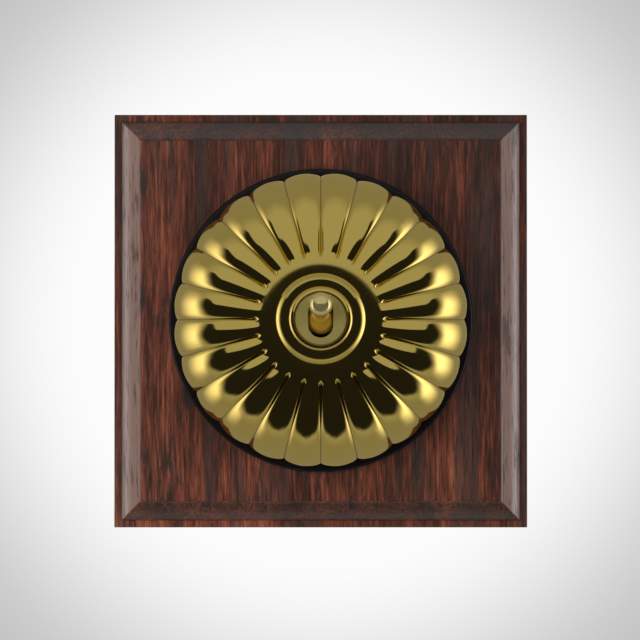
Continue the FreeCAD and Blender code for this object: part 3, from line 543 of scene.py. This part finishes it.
def stained_oak():
    """Dark red-brown stained wood with darker veins, sooty streaks, fine fibres, open pores and painted shade
    that darkens it to the right and top. The moulding is waxed, with a paler painted sheen where it runs
    along the grain."""
    oak = Finish("stained_oak")
    parts = oak.start.make("SeparateXYZ", {"Vector": oak.place})
    across, out, up = parts.other("X"), parts.other("Y"), parts.other("Z")
    aside, above = across.math("ABSOLUTE"), up.math("ABSOLUTE")
    edge = aside.math("MAXIMUM", above)
    moulding = edge.step(FIELD_HALF - 0.2 * MM, FIELD_HALF + MM)
    moulding = moulding * (1 - edge.step(MARGIN_HALF - 0.4 * MM, MARGIN_HALF))
    moulding = moulding * (out * -1).step(MARGIN_LEVEL - MM, MARGIN_LEVEL)
    with_grain = moulding * (aside - above).step(-0.3 * MM, 0.3 * MM)
    wander = oak.noise(16, 9, detail=2, shift=3.1) - 0.5
    oak.place = oak.start.make("CombineXYZ", {"X": across + wander * (4 * MM), "Y": out, "Z": up})
    bands = oak.noise(55, 8, detail=4, roughness=0.6, shift=1.7)
    stripes = oak.noise(330, 12, detail=4, roughness=0.65, shift=5.3)
    fibres = oak.noise(1700, 110, detail=4, roughness=0.7)
    streaks = oak.noise(230, 45, detail=5, roughness=0.7, shift=4.6).step(0.55, 0.64)
    pores = oak.noise(2100, 150, detail=3, roughness=0.6, shift=9.2).step(0.54, 0.66)
    # Darker towards the right and the top: painted shade laid over the grain's own bands, stripes and fibres.
    grain_and_painted_shade = bands * 0.53 + stripes * 0.4 + (fibres - 0.5) * 0.9 - across * 1.2 - up * 1.1
    stain_and_painted_shade = grain_and_painted_shade.make("ValToRGB", {"Fac": grain_and_painted_shade}, stops=[
        (0.28, (0.022, 0.0098, 0.0068)), (0.42, (0.053, 0.0158, 0.0092)), (0.54, (0.112, 0.0300, 0.0150)),
        (0.66, (0.190, 0.0550, 0.0270)), (0.82, (0.300, 0.1030, 0.0550))])
    veins = oak.noise(150, 10, detail=4, roughness=0.6, shift=7.7).step(0.50, 0.60)
    veined = (veins * 0.65).mix(stain_and_painted_shade, colour(0.036, 0.0235, 0.0195))
    sooty = (streaks * 0.8).mix(veined, colour(0.019, 0.0150, 0.0130))
    waxed = (moulding * 0.45).mix(sooty, colour(0.022, 0.0165, 0.0135))
    # Along the side mouldings the colour is lifted to a pale pinkish brown: painted sheen of the side soft
    # boxes.
    painted_side_sheen = (with_grain * (0.85 - streaks * 0.5)).mix(waxed, colour(0.205, 0.124, 0.096))
    base = (pores * 0.6).mix(painted_side_sheen, colour(0.010, 0.0075, 0.0065))
    relief = fibres * 0.6 - pores - streaks * 0.4
    wax = 0.06 + moulding * (0.36 - pores * 0.15) + with_grain * (0.55 - pores * 0.25 - streaks * 0.3)
    return oak.shade(Base_Color=base, Roughness=0.5 + pores * 0.2 - stripes * 0.1, Specular_IOR_Level=0.15,
                     Normal=oak.bump(relief, 0.025 * MM), Coat_Weight=wax, Coat_IOR=2.2, Coat_Roughness=0.33)


def polished_brass():
    """Mirror-polished brass under lacquer, darker along the valleys with painted shade in the creases, and
    duller there.
    """
    brass = Finish("polished_brass")
    mottle = brass.noise(160, 160, detail=4, roughness=0.6)
    hairlines = brass.noise(5200, 900, detail=2, roughness=0.5, shift=2.4)
    valley = brass.start.make("Attribute", {}, output="Fac", attribute_name="valley").step(0.7, 1.0)
    bright = mottle.mix(colour(0.75, 0.565, 0.132), colour(0.80, 0.60, 0.14))
    # The near-black brown along the valleys is painted shade in the creases.
    base = (valley * 0.6).mix(bright, colour(0.11, 0.075, 0.02))
    return brass.shade(Base_Color=base, Metallic=1.0,
                       Roughness=0.055 + mottle * 0.03 + hairlines * 0.02 + valley * 0.25,
                       Normal=brass.bump(hairlines, 0.0006 * MM), Coat_Weight=0.35, Coat_Roughness=0.04)


def lever_brass_with_painted_reflection():
    """The lever's brass: paler on the ball, and a deeper gold on the neck and hub that is painted reflection
    of the light in the slot.
    """
    brass = Finish("lever_brass")
    out = brass.start.make("SeparateXYZ", {"Vector": brass.place}, output="Y") * -1
    ball_region = out.step(PIVOT_LEVEL + PALE_BALL_START, PIVOT_LEVEL + PALE_BALL_END)
    mottle = brass.noise(420, 420, detail=4)
    # The deeper gold on the neck and hub is painted reflection of the light in the slot.
    neck_gold_painted_reflection = mottle.mix(colour(0.72, 0.43, 0.040), colour(0.90, 0.56, 0.070))
    pale_ball_brass = mottle.mix(colour(0.70, 0.58, 0.22), colour(0.84, 0.70, 0.30))
    return brass.shade(Base_Color=ball_region.mix(neck_gold_painted_reflection, pale_ball_brass), Metallic=0.78 + ball_region * 0.1,
                       Roughness=0.2 - ball_region * 0.07 + mottle * 0.04, Normal=brass.bump(mottle, 0.002 * MM),
                       Coat_Weight=0.1, Coat_Roughness=0.06)


def turned_brass():
    """Satin brass with the fine rings that a turning tool leaves."""
    brass = Finish("satin_brass")
    parts = brass.start.make("SeparateXYZ", {"Vector": brass.place})
    across, up = parts.other("X"), parts.other("Z")
    radius = (across * across + up * up).math("SQRT")
    rings = (radius * TOOL_MARKS).math("SINE")
    mottle = brass.noise(420, 420, detail=4)
    base = mottle.mix(colour(0.28, 0.23, 0.065), colour(0.38, 0.315, 0.10))
    return brass.shade(Base_Color=base, Metallic=0.6, Roughness=0.38 + mottle * 0.14,
                       Normal=brass.bump(rings * 0.5 + mottle * 0.4, 0.004 * MM))


def black_moulding():
    """Glossy black moulding with faint flow marks."""
    black = Finish("black_moulding")
    flow = black.noise(210, 120, detail=4)
    specks = black.noise(4200, 4200, detail=1)
    base = flow.mix(colour(0.0030, 0.0028, 0.0027), colour(0.0060, 0.0056, 0.0053))
    return black.shade(Base_Color=base, Roughness=0.2 + flow * 0.1, Specular_IOR_Level=0.2,
                       Normal=black.bump(specks, 0.0015 * MM))


def plain_metal(name, light, dark, roughness):
    """Drawn or pressed metal with a fine grain."""
    metal = Finish(name)
    grain = metal.noise(2600, 500, detail=3)
    mottle = metal.noise(350, 350, detail=3, shift=4.0)
    return metal.shade(Base_Color=mottle.mix(colour(*dark), colour(*light)), Metallic=1.0,
                       Roughness=roughness - 0.06 + grain * 0.12, Normal=metal.bump(grain, 0.002 * MM))


def moulded(name, light, dark, roughness):
    """Moulding compound, mottled as its filler flowed."""
    compound = Finish(name)
    flow = compound.noise(300, 180, detail=5, roughness=0.65)
    specks = compound.noise(3200, 3200, detail=2)
    return compound.shade(Base_Color=flow.mix(colour(*dark), colour(*light)),
                          Roughness=roughness + specks * 0.1, Normal=compound.bump(specks, 0.004 * MM))


oak = stained_oak()
brass = polished_brass()
lever_brass = lever_brass_with_painted_reflection()
satin = turned_brass()
black = black_moulding()
steel = plain_metal("bright_steel", (0.62, 0.62, 0.60), (0.48, 0.48, 0.47), 0.26)
wire = plain_metal("spring_steel", (0.46, 0.46, 0.47), (0.34, 0.34, 0.35), 0.34)
silver = plain_metal("silver", (0.88, 0.87, 0.84), (0.76, 0.75, 0.72), 0.2)
brown = moulded("brown_moulding", (0.060, 0.034, 0.024), (0.032, 0.019, 0.014), 0.32)
insulator = moulded("insulator", (0.56, 0.50, 0.39), (0.46, 0.40, 0.30), 0.4)
fibre = moulded("fibre", (0.27, 0.075, 0.045), (0.19, 0.052, 0.033), 0.55)

piece("block", moulded_block(), oak, "switch_base", "oak_block")
piece("base", base_disc(), black, "switch_base", "mount_base")
piece("dome", fluted_dome(), brass, "switch_base", "dome_cover")
piece("ring", ring_nut(), brass, "switch_base", "cover_ring")
piece("bush_body", slotted_bush(), satin, "switch_base", "bush")
piece("lever", lever(), lever_brass, "dolly", "dolly")

finishes = {
    "base_screws": steel, "pivot_pin": steel, "rocker_pin": steel, "yoke_screws": steel,
    "plunger_spring": wire, "plunger": insulator, "rocker": satin, "moving_contacts": silver,
    "fixed_contacts": silver, "common_terminal": satin, "upper_terminal": satin, "lower_terminal": satin,
    "terminal_screws": satin, "clamp_washers": satin, "earth_screw": satin, "yoke": satin,
    "switch_body": brown, "insulating_plate": fibre, "oak_block": oak, "mount_base": black,
    "dome_cover": brass, "cover_ring": brass, "bush": satin, "dolly": lever_brass}
for name, material in finishes.items():
    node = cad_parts[name]
    node.data.materials.clear()
    node.data.materials.append(material)


def studio():
    """A pale tent with a dark opening that starts just above the camera and runs down from there, and a tall
    soft box at either side. The camera, and metal that looks past the switch, see a white ground that falls
    off to grey."""
    world = bpy.data.worlds.new("studio")
    bpy.context.scene.world = world
    world.use_nodes = True
    tree = world.node_tree
    start = Field(tree)
    parts = start.make("SeparateXYZ", {"Vector": start.make("TexCoord", {}, output="Generated")})
    right, back, up = parts.other("X"), parts.other("Y"), parts.other("Z")
    # Degrees round to either side of the camera, and degrees up.
    azimuth = right.math("ABSOLUTE").math("ARCTAN2", back * -1) * math.degrees(1)
    height = up.math("ARCSINE") * math.degrees(1)
    brow = BROW + azimuth.step(20, 60) * 8 + azimuth.step(60, 72) * 18
    aside = (azimuth / OPENING_WIDTH).math("POWER", 3)
    above = (height.math("ABSOLUTE") / OPENING_HEIGHT).math("POWER", 3)
    opening = (1 - (aside + above).step(0.85, 1.15)) * (1 - (height - brow).step(0.0, 3.0))
    boxes = azimuth.step(80, 92) * (1 - azimuth.step(88, 119))
    boxes = boxes * (1 - (height - BOX_HEIGHT).math("ABSOLUTE").step(6, 46))
    boxes = boxes * (BOX_LEFT_SHARE + right.step(-0.2, 0.2) * (1 - BOX_LEFT_SHARE))
    tent = OPENING_GLOW + (1 - opening) * (TENT_GLOW - back.step(-0.3, 0.05) * TENT_FALL)
    boxes = boxes.mix(colour(0, 0, 0), colour(*BOX_COLOUR))
    light = start.make("VectorMath", {0: boxes, 1: tent}, operation="ADD")
    # White behind the switch, grey towards the picture's corners, and paler again past them.
    axis_up = up - GROUND_LIFT
    off_axis = (right * right + axis_up * axis_up).math("SQRT")
    ground = GROUND_WHITE - off_axis.step(0.049, 0.101) * 0.43 + off_axis.step(0.12, 0.34) * 0.3
    straight = start.make("LightPath", {}, output="Is Camera Ray")
    mirrored = straight.other("Is Glossy Ray") * back.step(0.6, 0.8)
    seen = (straight + mirrored + straight.other("Is Transmission Ray")).math("MINIMUM", 1)
    lit = start.make("Background", {"Color": light})
    shown = start.make("Background", {"Color": ground})
    both = start.make("MixShader", {0: seen, 1: lit, 2: shown})
    tree.links.new(both.output, tree.nodes["World Output"].inputs["Surface"])


def lamp(name, place, size, power):
    """A soft panel aimed at the switch. Polished metal shows the studio instead of it."""
    light = bpy.data.lights.new(name, "AREA")
    light.size = size
    light.energy = power
    made = bpy.data.objects.new(name, light)
    bpy.context.scene.collection.objects.link(made)
    made.location = place
    made.rotation_euler = (-Vector(place)).to_track_quat("-Z", "Y").to_euler()
    made.visible_glossy = False


def pale_floor():
    """Pale paper well below the switch, which shows in views from above."""
    bm = bmesh.new()
    bmesh.ops.create_circle(bm, cap_ends=True, segments=FLOOR_STEPS, radius=FLOOR_RADIUS,
                            matrix=Matrix.Translation((0, 0, FLOOR_LEVEL)))
    mesh = bpy.data.meshes.new("floor")
    bm.to_mesh(mesh)
    bm.free()
    floor = bpy.data.objects.new("floor", mesh)
    bpy.context.scene.collection.objects.link(floor)
    paper = Finish("pale_floor")
    tooth = paper.noise(900, 900, detail=3)
    seen = paper.start.make("LightPath", {}, output="Is Camera Ray")
    base = tooth.mix(colour(0.80, 0.80, 0.79), colour(0.83, 0.83, 0.82))
    glow = seen.mix(colour(0, 0, 0), colour(0.30, 0.30, 0.295))
    mesh.materials.append(paper.shade(Base_Color=base, Roughness=0.8 + tooth * 0.1, Emission_Color=glow,
                                      Emission_Strength=1.0))
    floor.visible_glossy = False


def camera():
    """Square on, a little below the middle, at the distance that the photograph's perspective gives."""
    data = bpy.data.cameras.new("camera")
    data.lens = LENS
    data.sensor_width = SENSOR
    made = bpy.data.objects.new("camera", data)
    bpy.context.scene.collection.objects.link(made)
    made.location = CAMERA_PLACE
    aim = Vector(CAMERA_AIM) - made.location
    made.rotation_euler = aim.to_track_quat("-Z", "Y").to_euler()
    bpy.context.scene.camera = made


studio()
lamp("key", place=(-0.6, -0.9, -0.05), size=0.7, power=10.0)
lamp("fill", place=(0.7, -0.85, 0.05), size=0.7, power=5.0)
pale_floor()
camera()
bpy.context.scene.view_settings.view_transform = "Standard"
